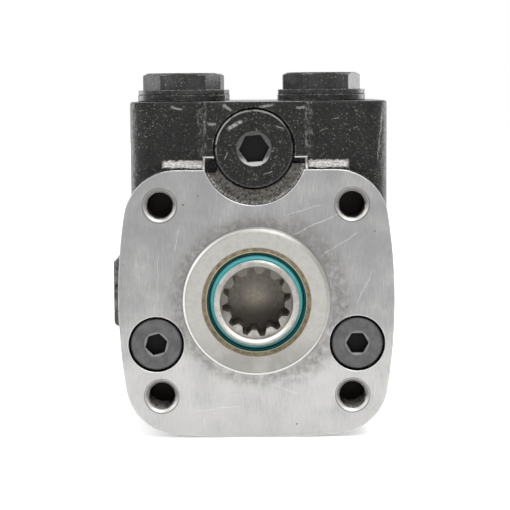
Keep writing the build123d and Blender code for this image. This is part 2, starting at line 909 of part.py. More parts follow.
with BuildPart() as sleeve:
    spool_bore = spool_radius + running_gap
    revolve(
        half_section(
            (spool_bore, sleeve_front),
            (sleeve_nose_radius, sleeve_front),
            (sleeve_nose_radius, sleeve_front + sleeve_nose_length),
            (sleeve_radius, sleeve_front + sleeve_nose_length),
            (sleeve_radius, valve_end),
            (spool_bore, valve_end),
        ),
        axis=Axis.Y,
    )
    # slot for the leaf springs, open at the front
    with BuildSketch(Plane.XY):
        with Locations((0, (sleeve_front + leaf_to) / 2)):
            Rectangle(3 * sleeve_radius, leaf_to - sleeve_front + 2 * press_gap)
    extrude(amount=slot_height / 2, both=True, mode=Mode.SUBTRACT)
    # cross pin hole
    with BuildSketch(Plane.YZ):
        with Locations((cross_pin_station, 0)):
            Circle(cross_pin_radius + press_gap)
    extrude(amount=1.5 * sleeve_radius, both=True, mode=Mode.SUBTRACT)
    # metering rows and the commutator row, cut in pairs right across
    for row, station in enumerate(gallery_stations):
        for index in range(sleeve_holes_per_row // 2):
            angle = radians((index * 2 + row % 2) * 180 / sleeve_holes_per_row)
            with BuildSketch(Plane((0, station, 0), z_dir=(cos(angle), 0, sin(angle)))):
                Circle(sleeve_hole)
            extrude(amount=1.5 * sleeve_radius, both=True, mode=Mode.SUBTRACT)
    for index in range(commutator_holes // 2):
        angle = radians((index + 0.5) * 360 / commutator_holes)
        with BuildSketch(Plane((0, commutator_station, 0), z_dir=(cos(angle), 0, sin(angle)))):
            Circle(sleeve_hole * 0.7)
        extrude(amount=1.5 * sleeve_radius, both=True, mode=Mode.SUBTRACT)
save(sleeve.part, "sleeve")

with BuildPart() as spool:
    revolve(
        half_section(
            (0, neck_front),
            (neck_radius - neck_edge, neck_front),
            (neck_radius, neck_front + neck_edge),
            (neck_radius, sleeve_front + face_gap),
            (spool_radius, sleeve_front + face_gap),
            (spool_radius, valve_end),
            (cardan_bore, valve_end),
            (cardan_bore, cardan_bore_start),
            (0, cardan_bore_start - 2),
        ),
        axis=Axis.Y,
    )
    # column socket: plain mouth, then the splines
    with BuildSketch(across(neck_front)):
        Circle(socket_mouth)
    extrude(amount=-socket_mouth_depth, mode=Mode.SUBTRACT)
    socket = spline_profile(
        socket_minor,
        socket_major,
        socket_tip_width,
        socket_root_width,
        socket_teeth,
        socket_turn,
        socket_root_fillet,
    )
    extrude(socket.moved(Location((0, neck_front, 0))), amount=neck_front - socket_floor, mode=Mode.SUBTRACT)
    # window for the leaf springs
    with BuildSketch(Plane.XY):
        with Locations((0, (leaf_from + leaf_to) / 2)):
            Rectangle(3 * spool_radius, leaf_width + 4 * press_gap)
    extrude(amount=slot_height / 2, both=True, mode=Mode.SUBTRACT)
    # wide holes that let the cross pin turn against the spool
    with BuildSketch(Plane.YZ):
        with Locations((cross_pin_station, 0)):
            Circle(spool_pin_hole)
    extrude(amount=1.5 * spool_radius, both=True, mode=Mode.SUBTRACT)
    # metering slots, long and short in turn
    for index in range(spool_slots):
        slot_start = spool_long_slot_start if index % 2 else spool_short_slot_start
        angle = radians((index + 0.5) * 360 / spool_slots)
        spoke = Vector(cos(angle), 0, sin(angle))
        slot_base = spoke * (spool_radius - spool_slot_depth) + Vector(0, (slot_start + spool_slot_end) / 2, 0)
        with BuildSketch(Plane(origin=slot_base, x_dir=(0, 1, 0), z_dir=spoke)):
            SlotOverall(spool_slot_end - slot_start, spool_slot_width)
        extrude(amount=2 * spool_slot_depth, mode=Mode.SUBTRACT)
    # return ring groove and its drillings into the cardan bore
    revolve(
        tube_section(spool_radius - spool_slot_depth, spool_radius + 1, return_groove_start, return_groove_start + return_groove_width),
        axis=Axis.Y,
        mode=Mode.SUBTRACT,
    )
    for angle in (45, 135):
        drill = Vector(cos(radians(angle)), 0, sin(radians(angle)))
        with BuildSketch(Plane(origin=(0, gallery_stations[0], 0), z_dir=drill)):
            Circle(sleeve_hole)
        extrude(amount=1.5 * spool_radius, both=True, mode=Mode.SUBTRACT)
save(spool.part, "spool")

with BuildPart() as centring_springs:
    # flat leaves outside, two bowed leaves back to back between them
    for side in (-1, 1):
        for layer in (0, 1):
            height = side * (leaf_thickness * (layer + 1.5) + leaf_bow)
            with Locations((0, (leaf_from + leaf_to) / 2, height)):
                Box(leaf_length, leaf_width - 2 * press_gap, leaf_thickness - press_gap)
        with BuildSketch(Plane.XZ.offset(-leaf_from - press_gap)):
            with BuildLine():
                ends = side * (leaf_bow + leaf_thickness - press_gap)
                middle = side * press_gap
                half = leaf_length / 2
                thick = side * (leaf_thickness - 2 * press_gap)
                ThreePointArc((-half, ends - thick), (0, middle), (half, ends - thick))
                Line((half, ends - thick), (half, ends))
                ThreePointArc((half, ends), (0, middle + thick), (-half, ends))
                Line((-half, ends), (-half, ends - thick))
            make_face()
        extrude(amount=-leaf_width + 2 * press_gap)
save(centring_springs.part, "centring_springs")

with BuildPart() as retaining_ring:
    ring_start = sleeve_front + (sleeve_nose_length - retaining_ring_length) / 2
    revolve(
        tube_section(sleeve_nose_radius + running_gap, retaining_ring_radius, ring_start, ring_start + retaining_ring_length),
        axis=Axis.Y,
    )
save(retaining_ring.part, "retaining_ring")

with BuildPart() as cross_pin:
    with BuildSketch(Plane.YZ.offset(-cross_pin_length / 2)):
        with Locations((cross_pin_station, 0)):
            Circle(cross_pin_radius)
    extrude(amount=cross_pin_length)
    chamfer(cross_pin.edges().filter_by(GeomType.CIRCLE), 0.5)
save(cross_pin.part, "cross_pin")

# ---------------------------------------------------------------- cardan shaft, rotor, spacer


def rotor_outline():
    """Inner parallel of the path that the ring lobes' centres follow round the rotor."""
    points = []
    offset = lobe_radius + rotor_gap
    steps = 12 * rotor_lobes
    for step in range(steps):
        t = 2 * pi * step / steps
        x = lobe_circle * cos(t) + eccentricity * cos(ring_lobes * t)
        y = lobe_circle * sin(t) + eccentricity * sin(ring_lobes * t)
        dx = -lobe_circle * sin(t) - ring_lobes * eccentricity * sin(ring_lobes * t)
        dy = lobe_circle * cos(t) + ring_lobes * eccentricity * cos(ring_lobes * t)
        speed = hypot(dx, dy)
        points.append((x - offset * dy / speed, y + offset * dx / speed))
    with BuildSketch(Plane.XZ) as outline:
        with BuildLine():
            Spline(*points, periodic=True)
        make_face()
    return outline.sketch


with BuildPart() as rotor:
    rotor_front = plate_end + face_gap
    rotor_width = gear_width - 2 * face_gap
    rotor_place = Location((0, rotor_front, eccentricity))
    extrude(rotor_outline().moved(rotor_place), amount=-rotor_width)
    rotor_spline = spline_profile(
        rotor_spline_minor, rotor_spline_major, spline_root_width, spline_tip_width, cardan_teeth
    )
    extrude(rotor_spline.moved(rotor_place), amount=-rotor_width, mode=Mode.SUBTRACT)
save(rotor.part, "rotor")

head_swing = (rotor_spline_major - spline_clearance) * sin(radians(cardan_tilt))
cardan_head_end = ring_end - face_gap - spacer_thickness - head_swing - face_gap
pin_centre = (0, cross_pin_station, 0)

with BuildPart() as cardan_straight:
    head_start = cardan_head_end - cardan_head_length
    shaft_minor = rotor_spline_minor - spline_clearance
    revolve(
        half_section(
            (0, cardan_fork_start),
            (cardan_fork_radius - 0.8, cardan_fork_start),
            (cardan_fork_radius, cardan_fork_start + 0.8),
            (cardan_fork_radius, cardan_fork_end),
            (cardan_waist, cardan_fork_end + 3),
            (cardan_waist, head_start - 3),
            (shaft_minor, head_start),
            (shaft_minor, cardan_head_end),
            (0, cardan_head_end),
        ),
        axis=Axis.Y,
    )
    shaft_spline = spline_profile(
        shaft_minor,
        rotor_spline_major - spline_clearance,
        spline_root_width - 2 * spline_flank_clearance,
        spline_tip_width - 2 * spline_flank_clearance,
        cardan_teeth,
    )
    extrude(shaft_spline.moved(Location((0, head_start, 0))), amount=-cardan_head_length)
    # slot that rides on the cross pin
    slot_half = cross_pin_radius + cardan_slot_gap
    with BuildSketch(Plane.YZ):
        slot_floor = cross_pin_station + cardan_swing + cardan_slot_gap
        slot_mouth = cardan_fork_start - embed
        with Locations((slot_floor, 0)):
            Circle(slot_half)
        with Locations(((slot_mouth + slot_floor) / 2, 0)):
            Rectangle(slot_floor - slot_mouth, 2 * slot_half)
    extrude(amount=1.5 * cardan_fork_radius, both=True, mode=Mode.SUBTRACT)

# the shaft leans from the pin towards the rotor's centre
cardan_shaft = cardan_straight.part.rotate(Axis(pin_centre, (1, 0, 0)), cardan_tilt)
save(cardan_shaft, "cardan_shaft")

with BuildPart() as spacer:
    with BuildSketch(across(ring_end - face_gap)):
        with Locations((0, eccentricity)):
            Circle(spacer_radius)
    extrude(amount=spacer_thickness)
save(spacer.part, "spacer")


# ---------------------------------------------------------------- relief and shock valves


def socket_plug(x, z, front, floor, head, washer, shank, shank_end, flats, turn):
    """Flat-headed plug with a hexagon socket and a chamfered socket mouth."""
    under_head = floor - washer
    with BuildPart() as plug:
        revolve(
            half_section(
                (0, front),
                (head - 0.4, front),
                (head, front + 0.4),
                (head, under_head),
                (shank - press_gap, under_head),
                (shank - press_gap, shank_end),
                (0, shank_end),
                at=(x, z),
            ),
            axis=axis_at(x, z),
        )
        with BuildSketch(across(front)):
            with Locations((x, z)):
                hexagon(flats, turn)
        extrude(amount=-flats * 0.75, mode=Mode.SUBTRACT)
        mouth = flats * 0.675
        revolve(
            half_section((0, front), (mouth, front), (0, front + mouth * 0.5), at=(x, z)),
            axis=axis_at(x, z),
            mode=Mode.SUBTRACT,
        )
    return plug.part


def socket_screw(x, z, start, length, radius, flats):
    """Headless adjusting screw with a hexagon socket."""
    with BuildPart() as screw:
        with BuildSketch(across(start)):
            with Locations((x, z)):
                Circle(radius)
        extrude(amount=-length)
        with BuildSketch(across(start)):
            with Locations((x, z)):
                hexagon(flats)
        extrude(amount=-length * 0.5, mode=Mode.SUBTRACT)
    return screw.part


def coil_spring(x, z, start, end, mean, wire, turns):
    """Square-wire compression spring along the spool axis, clear of both of its seats."""
    travel = end - start - wire
    with BuildPart() as spring:
        with BuildLine() as path:
            Helix(travel / turns, travel, mean, center=(x, start + wire / 2, z), direction=(0, 1, 0))
        with BuildSketch(Plane(origin=path.line @ 0, z_dir=path.line % 0)):
            Rectangle(wire, wire)
        sweep(is_frenet=True)
    return spring.part


relief_shank_end = relief_thread_end - relief_shank_gap
save(
    socket_plug(
        relief_x,
        relief_z,
        relief_head_front,
        relief_counterbore_floor,
        relief_head,
        relief_washer_thickness,
        relief_thread,
        relief_shank_end,
        relief_socket,
        relief_socket_turn,
    ),
    "relief_valve_plug",
)


def seal_washer(x, z, floor, thickness, inner, outer):
    """Flat ring under a plug's head."""
    with BuildPart() as washer:
        revolve(tube_section(inner, outer, floor - thickness, floor, at=(x, z)), axis=axis_at(x, z))
    return washer.part


save(
    seal_washer(
        relief_x, relief_z, relief_counterbore_floor, relief_washer_thickness, relief_thread + 0.1, relief_head - 0.4
    ),
    "relief_plug_washer",
)
save(
    socket_screw(
        relief_x, relief_z, relief_screw_start, relief_screw_length, relief_bore - press_gap, relief_screw_socket
    ),
    "relief_adjusting_screw",
)
piston_start = relief_bore_end - relief_piston_length
save(
    coil_spring(
        relief_x,
        relief_z,
        relief_screw_start + relief_screw_length,
        piston_start,
        relief_spring_radius,
        relief_spring_wire,
        spring_turns,
    ),
    "relief_spring",
)
with BuildPart() as relief_piston:
    nose = relief_piston_radius - relief_passage
    revolve(
        half_section(
            (0, piston_start),
            (relief_piston_radius, piston_start),
            (relief_piston_radius, relief_bore_end),
            (relief_passage, relief_bore_end + nose - 0.2),
            (0, relief_bore_end + nose - 0.2),
            at=(relief_x, relief_z),
        ),
        axis=axis_at(relief_x, relief_z),
    )
save(relief_piston.part, "relief_piston")

shock_ball_station = shock_bore_end - shock_ball_setback
for side, x in (("left", -shock_x), ("right", shock_x)):
    save(
        socket_plug(
            x,
            shock_z,
            shock_head_front,
            shock_counterbore_floor,
            shock_head,
            shock_washer_thickness,
            shock_thread,
            shock_thread_end - shock_shank_gap,
            shock_socket,
            shock_socket_turn[side],
        ),
        f"shock_valve_plug_{side}",
    )
    save(
        seal_washer(x, shock_z, shock_counterbore_floor, shock_washer_thickness, shock_thread + 0.1, shock_head - 0.2),
        f"shock_plug_washer_{side}",
    )
    save(
        socket_screw(x, shock_z, shock_screw_start, shock_screw_length, shock_bore - press_gap, shock_screw_socket),
        f"shock_adjusting_screw_{side}",
    )
    save(
        coil_spring(
            x,
            shock_z,
            shock_screw_start + shock_screw_length,
            shock_ball_station - shock_ball_radius,
            shock_spring_radius,
            shock_spring_wire,
            spring_turns,
        ),
        f"shock_spring_{side}",
    )
    save(ball(x, shock_ball_station, shock_z, shock_ball_radius), f"shock_ball_{side}")

# ---------------------------------------------------------------- port plugs and bonded washers
for name, (x, y, turn) in ports.items():
    washer_top = block_top + washer_thickness
    collar_top = washer_top + plug_collar_height
    with BuildPart() as port_plug:
        with BuildSketch(Plane((x, y, washer_top - washer_thickness - plug_shank_length))):
            Circle(port_thread - press_gap)
        extrude(amount=washer_thickness + plug_shank_length)
        with BuildSketch(Plane((x, y, washer_top))):
            Circle(plug_collar_radius)
        extrude(amount=plug_collar_height)
        add(crowned_hexagon(Plane((x, y, collar_top)).rotated((0, 0, turn)), plug_flats, plug_hex_height, plug_corner_radius))
    save(port_plug.part, f"port_plug_{name}")
    with BuildPart() as port_washer:
        with BuildSketch(Plane((x, y, block_top))):
            Circle(washer_radius)
            Circle(washer_bore, mode=Mode.SUBTRACT)
        extrude(amount=washer_thickness)
        chamfer(port_washer.edges().filter_by(GeomType.CIRCLE).group_by(SortBy.RADIUS)[-1], 0.3)
    save(port_washer.part, f"port_washer_{name}")
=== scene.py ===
import bpy
import json
import math
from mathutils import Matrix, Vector


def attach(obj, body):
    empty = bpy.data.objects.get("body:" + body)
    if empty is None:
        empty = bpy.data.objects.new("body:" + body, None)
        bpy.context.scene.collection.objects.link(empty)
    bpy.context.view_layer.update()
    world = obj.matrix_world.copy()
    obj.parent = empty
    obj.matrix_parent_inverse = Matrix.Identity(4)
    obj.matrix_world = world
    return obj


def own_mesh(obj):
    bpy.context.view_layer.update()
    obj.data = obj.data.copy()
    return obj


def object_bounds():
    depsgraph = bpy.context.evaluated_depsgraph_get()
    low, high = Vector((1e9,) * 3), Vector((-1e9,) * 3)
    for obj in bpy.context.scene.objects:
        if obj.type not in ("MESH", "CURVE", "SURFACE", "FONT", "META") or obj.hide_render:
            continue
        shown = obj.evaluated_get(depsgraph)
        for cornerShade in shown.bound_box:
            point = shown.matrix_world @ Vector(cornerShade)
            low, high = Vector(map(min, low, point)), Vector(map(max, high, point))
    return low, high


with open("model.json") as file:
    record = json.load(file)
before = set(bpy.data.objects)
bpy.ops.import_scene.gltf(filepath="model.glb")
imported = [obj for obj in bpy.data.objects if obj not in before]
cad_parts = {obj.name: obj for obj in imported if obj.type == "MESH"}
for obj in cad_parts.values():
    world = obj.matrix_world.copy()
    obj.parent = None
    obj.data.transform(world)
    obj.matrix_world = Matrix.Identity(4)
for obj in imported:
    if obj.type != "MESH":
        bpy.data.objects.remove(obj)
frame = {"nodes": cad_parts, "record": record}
nodes = frame["nodes"]
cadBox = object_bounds()
mm = 0.001
print("frame loaded:", len(nodes), "nodes")


def newFinish(name, color, roughness, metallic=0.0, specular=0.5):
    material = bpy.data.materials.new(name)
    material.use_nodes = True
    shader = material.node_tree.nodes["Principled BSDF"]
    shader.inputs["Base Color"].default_value = (*color, 1)
    shader.inputs["Roughness"].default_value = roughness
    shader.inputs["Metallic"].default_value = metallic
    shader.inputs["Specular IOR Level"].default_value = specular
    return material, material.node_tree, shader


def feed(tree, socket, value):  # an output is linked, a plain number or colour is set
    if isinstance(value, bpy.types.NodeSocket):
        tree.links.new(value, socket)
    elif isinstance(value, (tuple, list)) and len(value) == 3 and socket.type == "RGBA":
        socket.default_value = (*value, 1)
    else:
        socket.default_value = value


def objectPoint(tree):
    return tree.nodes.new("ShaderNodeTexCoord").outputs["Object"]


def splitPoint(tree, point):
    node = tree.nodes.new("ShaderNodeSeparateXYZ")
    feed(tree, node.inputs[0], point)
    return node.outputs[0], node.outputs[1], node.outputs[2]


def joinPoint(tree, x, z):
    node = tree.nodes.new("ShaderNodeCombineXYZ")
    feed(tree, node.inputs[0], x)
    feed(tree, node.inputs[2], z)
    return node.outputs[0]


def calc(tree, operation, a, b=0.0):
    node = tree.nodes.new("ShaderNodeMath")
    node.operation = operation
    feed(tree, node.inputs[0], a)
    feed(tree, node.inputs[1], b)
    return node.outputs[0]


def size(tree, value):
    return calc(tree, "ABSOLUTE", value)


def plus(tree, a, b):
    return calc(tree, "ADD", a, b)


def times(tree, *masks):
    total = masks[0]
    for mask in masks[1:]:
        total = calc(tree, "MULTIPLY", total, mask)
    return total


def anyOf(tree, *masks):
    total = masks[0]
    for mask in masks[1:]:
        total = calc(tree, "MAXIMUM", total, mask)
    return total


def fade(tree, value, start, end, low=0.0, high=1.0):  # smooth step from low at start to high at end
    node = tree.nodes.new("ShaderNodeMapRange")
    node.interpolation_type = "SMOOTHSTEP"
    sockets = ("Value", "From Min", "From Max", "To Min", "To Max")
    for name, number in zip(sockets, (value, start, end, low, high)):
        feed(tree, node.inputs[name], number)
    return node.outputs[0]


def below(tree, value, start, end):  # one under start, nothing past end
    return fade(tree, value, start, end, 1.0, 0.0)


def between(tree, value, low, high, soft):
    over = fade(tree, value, low - soft, low + soft)
    return times(tree, over, below(tree, value, high - soft, high + soft))


def turned(tree, point, angle, stretch):  # grain along a direction in the flange plane
    node = tree.nodes.new("ShaderNodeMapping")
    node.inputs["Rotation"].default_value = (0, math.radians(angle), 0)
    node.inputs["Scale"].default_value = stretch
    feed(tree, node.inputs["Vector"], point)
    return node.outputs[0]


def grain(tree, point, width, detail=3.0, roughness=0.55):  # noise with features about width metres wide
    node = tree.nodes.new("ShaderNodeTexNoise")
    feed(tree, node.inputs["Vector"], point)
    node.inputs["Scale"].default_value = 1 / width
    node.inputs["Detail"].default_value = detail
    node.inputs["Roughness"].default_value = roughness
    return node.outputs[0]


def patches(tree, point, width, detail, roughness, start, end, low=0.0, high=1.0):
    return fade(tree, grain(tree, point, width, detail, roughness), start, end, low, high)


def mixColor(tree, factor, a, b):
    node = tree.nodes.new("ShaderNodeMix")
    node.data_type = "RGBA"
    feed(tree, node.inputs["Factor"], factor)
    feed(tree, node.inputs[6], a)
    feed(tree, node.inputs[7], b)
    return node.outputs[2]


def mixValue(tree, factor, a, b):
    node = tree.nodes.new("ShaderNodeMix")
    feed(tree, node.inputs[0], factor)
    feed(tree, node.inputs[2], a)
    feed(tree, node.inputs[3], b)
    return node.outputs[0]


def cover(tree, color, mask, over, share=1.0):  # lays a colour over another where the mask is
    return mixColor(tree, mask if share == 1.0 else times(tree, mask, share), color, over)


def bump(tree, height, distance, strength, under=None):
    node = tree.nodes.new("ShaderNodeBump")
    node.inputs["Strength"].default_value = strength
    node.inputs["Distance"].default_value = distance
    feed(tree, node.inputs["Height"], height)
    if under:
        feed(tree, node.inputs["Normal"], under)
    return node.outputs[0]


def roundedEdges(tree, radius):  # softened normal, and how far an edge turns it
    bevel = tree.nodes.new("ShaderNodeBevel")
    bevel.samples = 4
    bevel.inputs["Radius"].default_value = radius
    geometry = tree.nodes.new("ShaderNodeNewGeometry")
    dot = tree.nodes.new("ShaderNodeVectorMath")
    dot.operation = "DOT_PRODUCT"
    feed(tree, dot.inputs[0], bevel.outputs[0])
    feed(tree, dot.inputs[1], geometry.outputs["Normal"])
    return bevel.outputs[0], fade(tree, dot.outputs["Value"], 0.99, 0.9)


def fromAxis(tree, point, x=0.0, z=0.0):  # distance from a line parallel to the spool
    shift = tree.nodes.new("ShaderNodeVectorMath")
    shift.operation = "SUBTRACT"
    feed(tree, shift.inputs[0], point)
    shift.inputs[1].default_value = (x, 0, z)
    flat = tree.nodes.new("ShaderNodeVectorMath")
    flat.operation = "MULTIPLY"
    feed(tree, flat.inputs[0], shift.outputs[0])
    flat.inputs[1].default_value = (1, 0, 1)
    length = tree.nodes.new("ShaderNodeVectorMath")
    length.operation = "LENGTH"
    feed(tree, length.inputs[0], flat.outputs[0])
    return length.outputs["Value"]


def stroke(tree, point, x, z, length, width, angle):  # one scuff or scratch on a face along the spool
    place = tree.nodes.new("ShaderNodeMapping")
    place.vector_type = "TEXTURE"
    place.inputs["Location"].default_value = (x * mm, 0, z * mm)
    place.inputs["Rotation"].default_value = (0, math.radians(-angle), 0)
    feed(tree, place.inputs["Vector"], point)
    along, depth, over = splitPoint(tree, place.outputs[0])
    wander = times(tree, calc(tree, "SUBTRACT", grain(tree, point, 5 * mm, 3), 0.5), 1.6 * mm)
    over = size(tree, plus(tree, over, wander))
    inWidth = below(tree, over, 0.3 * width * mm, 0.7 * width * mm)
    inLength = below(tree, size(tree, along), 0.3 * length * mm, 0.55 * length * mm)
    broken = patches(tree, point, 0.9 * mm, 4, 0.7, 0.34, 0.52)
    return times(tree, inWidth, inLength, broken)


paint = {
    "color": (0.005, 0.005, 0.0051),
    "worn": (0.022, 0.0215, 0.0205),
    "dust": (0.34, 0.335, 0.32),
    "chip": (0.4, 0.395, 0.38),
    "haze": (0.1, 0.1, 0.1),
    "gloss": 0.13,
}


def paintLook(tree, point, dustAmount=1.0):  # black paint with rubbed specks and short scratches
    dusty = patches(tree, point, 13 * mm, 4, 0.55, 0.36, 0.6, 0.4, 1.0)
    specks = patches(tree, point, 0.6 * mm, 3, 0.75, 0.58, 0.72)
    streaks = patches(tree, turned(tree, point, 24, (1, 1, 5)), 1.8 * mm, 4, 0.7, 0.64, 0.72)
    crossed = patches(tree, turned(tree, point, -38, (1, 1, 6)), 2.1 * mm, 3, 0.7, 0.66, 0.73)
    marks = anyOf(tree, specks, times(tree, streaks, 0.9), times(tree, crossed, 0.7))
    rubbed = times(tree, marks, times(tree, dusty, 0.75 * dustAmount))
    tone = mixColor(tree, grain(tree, point, 4 * mm, 5), paint["color"], paint["worn"])
    roughness = mixValue(tree, grain(tree, point, 2.5 * mm, 4), 0.16, 0.36)
    return mixColor(tree, rubbed, tone, paint["dust"]), mixValue(tree, rubbed, roughness, 0.6)


iron = {
    "dark": (0.23, 0.23, 0.23),
    "light": (0.46, 0.455, 0.445),
    "grimeAndShade": (0.1, 0.086, 0.07),
    "scratch": (0.75, 0.745, 0.73),
    "freshScratch": (0.8, 0.795, 0.78),
    # rim: painted highlight colour for bare edges
    "rim": (0.9, 0.895, 0.88),
    "scratches": [  # x, z, length and width in millimetres, angle in degrees
        (20, 24, 22, 0.3, 24), (25, 17, 17, 0.22, 32), (14, 27.5, 14, 0.2, 14), (-24, 19, 9, 0.2, 80),
        (-12, -33, 16, 0.2, 8), (33, 4, 12, 0.22, 64), (-30, 8, 15, 0.18, 88), (8, -27, 11, 0.2, -20),
    ],
    "spots": [  # x, z and size in millimetres
        (-22, 29.4, 0.8), (-17.5, 32, 0.6), (27.5, -2, 0.7), (-30.6, -30.5, 0.6), (12, -38, 0.7), (36, 21, 0.6),
    ],
}


def brushedIron(tree, point):  # machined grey iron: tool lines, stains, scratches and pits, with painted light making it lighter towards the bottom
    height = splitPoint(tree, point)[2]
    fine = grain(tree, turned(tree, point, 3, (9, 1, 0.35)), 1.2 * mm, 5, 0.7)
    slant = grain(tree, turned(tree, point, 62, (7, 1, 0.3)), 2.2 * mm, 4, 0.65)
    stains = grain(tree, point, 13 * mm, 5, 0.6)
    tone = plus(tree, times(tree, fine, 0.42), times(tree, stains, 0.4))
    tone = plus(tree, tone, times(tree, slant, 0.2))
    # painted light: the tone runs lighter towards the bottom and darker towards the top
    tone = plus(tree, tone, fade(tree, height, -30 * mm, 8 * mm, 0.11, -0.1))
    color = mixColor(tree, fade(tree, tone, 0.34, 0.7), iron["dark"], iron["light"])
    scratches = patches(tree, turned(tree, point, 71, (16, 1, 0.18)), 3.4 * mm, 2, 0.5, 0.7, 0.76)
    color = cover(tree, color, scratches, iron["scratch"], 0.6)
    for mark in iron["scratches"]:
        color = cover(tree, color, stroke(tree, point, *mark), iron["freshScratch"], 0.28)
    pits = patches(tree, point, 1.1 * mm, 2, 0.4, 0.74, 0.79)
    for x, z, width in iron["spots"]:
        fromSpot = fromAxis(tree, point, x * mm, z * mm)
        pits = anyOf(tree, pits, below(tree, fromSpot, 0.3 * width * mm, 0.6 * width * mm))
    return cover(tree, color, pits, iron["grimeAndShade"], 0.7), plus(tree, fine, times(tree, scratches, -0.6))


pilot = {
    "radius": 22.35 * mm,
    "light": (0.38, 0.37, 0.347),
    "toolLine": (0.31, 0.303, 0.286),
    "mottle": (0.29, 0.283, 0.266),
    "paintedLowShade": (0.205, 0.198, 0.182),
    "rim": (0.92, 0.915, 0.9),
}


def pilotLook(tree, point, ironColor):  # turned boss, dirt round it, painted shade on its lower part and in the corner at its foot, a painted highlight on the rim at lower left
    x, y, z = splitPoint(tree, point)
    fromSpool = fromAxis(tree, point)
    boss = below(tree, y, -0.4 * mm, -0.1 * mm)
    turning = tree.nodes.new("ShaderNodeTexWave")
    turning.wave_type = "RINGS"
    turning.rings_direction = "Y"
    turning.inputs["Scale"].default_value = 520
    turning.inputs["Distortion"].default_value = 0.6
    feed(tree, turning.inputs["Vector"], point)
    bossColor = mixColor(tree, times(tree, turning.outputs[1], 0.3), pilot["light"], pilot["toolLine"])
    mottle = patches(tree, point, 1.6 * mm, 6, 0.7, 0.4, 0.7, 0.0, 0.5)
    bossColor = cover(tree, bossColor, mottle, pilot["mottle"])
    # painted shade: patches that darken the lower part of the boss
    patchyLowShade = patches(tree, point, 6 * mm, 4, 0.55, 0.3, 0.6, 0.35, 0.9)
    paintedLowShade = times(tree, fade(tree, z, -8 * mm, -19 * mm), patchyLowShade)
    color = cover(tree, ironColor, boss, cover(tree, bossColor, paintedLowShade, pilot["paintedLowShade"], 0.75))

    halo = between(tree, fromSpool, 22.2 * mm, 25.6 * mm, 2.4 * mm)
    wideHalo = between(tree, fromSpool, 22.2 * mm, 28 * mm, 2.5 * mm)
    smudge = times(tree, wideHalo, fade(tree, x, 2 * mm, 16 * mm, 0.0, 0.9))
    grimeAndCornerShade = times(tree, anyOf(tree, halo, smudge), patches(tree, point, 2.2 * mm, 6, 0.65, 0.3, 0.66))
    # painted shade: a dark line in the corner at the foot of the boss, added to the grime
    cornerShade = between(tree, fromSpool, pilot["radius"] - 0.05 * mm, pilot["radius"] + 0.4 * mm, 0.12 * mm)
    grimeAndCornerShade = times(tree, anyOf(tree, grimeAndCornerShade, times(tree, cornerShade, 0.9)), fade(tree, y, -0.2 * mm, 0.0))
    color = cover(tree, color, grimeAndCornerShade, iron["grimeAndShade"], 0.62)
    # painted highlight: a near-white rim on the boss edge, strongest at lower left
    lowerLeftHighlight = fade(tree, plus(tree, x, z), 24 * mm, -8 * mm, 0.1, 1.0)
    edge = between(tree, fromSpool, pilot["radius"] - 0.6 * mm, pilot["radius"] + 0.05 * mm, 0.1 * mm)
    return cover(tree, color, times(tree, boss, edge, lowerLeftHighlight), pilot["rim"], 0.75)


boltHole = {
    "at": 29.168 * mm,  # half the side of the bolt square
    "radius": 5.25 * mm,
    "chamfer": (0.26, 0.25, 0.235),
    "chamferLowLit": (0.7, 0.69, 0.66),
    # inside: painted shade colour deep in the hole
    "inside": (0.02, 0.018, 0.016),
    "outline": (0.05, 0.048, 0.045),
}


def holeLook(tree, y, z, fromHole):  # chamfer with painted light on its lower side, painted shade deeper inside
    inHole = below(tree, fromHole, boltHole["radius"] - 0.05 * mm, boltHole["radius"] + 0.05 * mm)
    inHole = times(tree, inHole, fade(tree, y, 0.05 * mm, 0.2 * mm))
    side = 2 * boltHole["at"]
    fromMiddle = plus(tree, calc(tree, "MODULO", plus(tree, z, side), side), -boltHole["at"])
    # painted light: each chamfer is lighter on its lower side
    lowSideLit = fade(tree, fromMiddle, 1 * mm, -3 * mm)
    chamfer = mixColor(tree, lowSideLit, boltHole["chamfer"], boltHole["chamferLowLit"])
    # painted shade: near black deeper inside the hole
    return inHole, cover(tree, chamfer, fade(tree, y, 0.9 * mm, 3.5 * mm), boltHole["inside"])


recess = {
    "x": -0.4 * mm,
    "z": 45.0 * mm,
    "radius": 16.1 * mm,
    "top": 43.2 * mm,
    "dark": (0.05, 0.047, 0.041),
    "light": (0.26, 0.248, 0.225),
    "burr": (0.75, 0.74, 0.71),
    # lip: painted highlight colour on the bare recess edges
    "lip": (0.66, 0.65, 0.62),
}


def recessLook(tree, point):  # crescent of bare casting under the relief valve, with a burred edge
    x, y, z = splitPoint(tree, point)
    radius = fromAxis(tree, point, recess["x"], recess["z"])
    mask = times(
        tree,
        below(tree, radius, recess["radius"], recess["radius"] + 0.15 * mm),
        between(tree, y, 4.7 * mm, 5.2 * mm, 0.1 * mm),
        below(tree, z, recess["top"], recess["top"] + 0.3 * mm),
    )
    mottle = patches(tree, point, 0.8 * mm, 6, 0.75, 0.35, 0.65)
    color = mixColor(tree, mottle, recess["dark"], recess["light"])
    burrEdge = fade(tree, radius, 14.9 * mm, 15.4 * mm)
    burr = times(tree, burrEdge, patches(tree, point, 0.6 * mm, 5, 0.8, 0.48, 0.6))
    return mask, cover(tree, color, burr, recess["burr"])


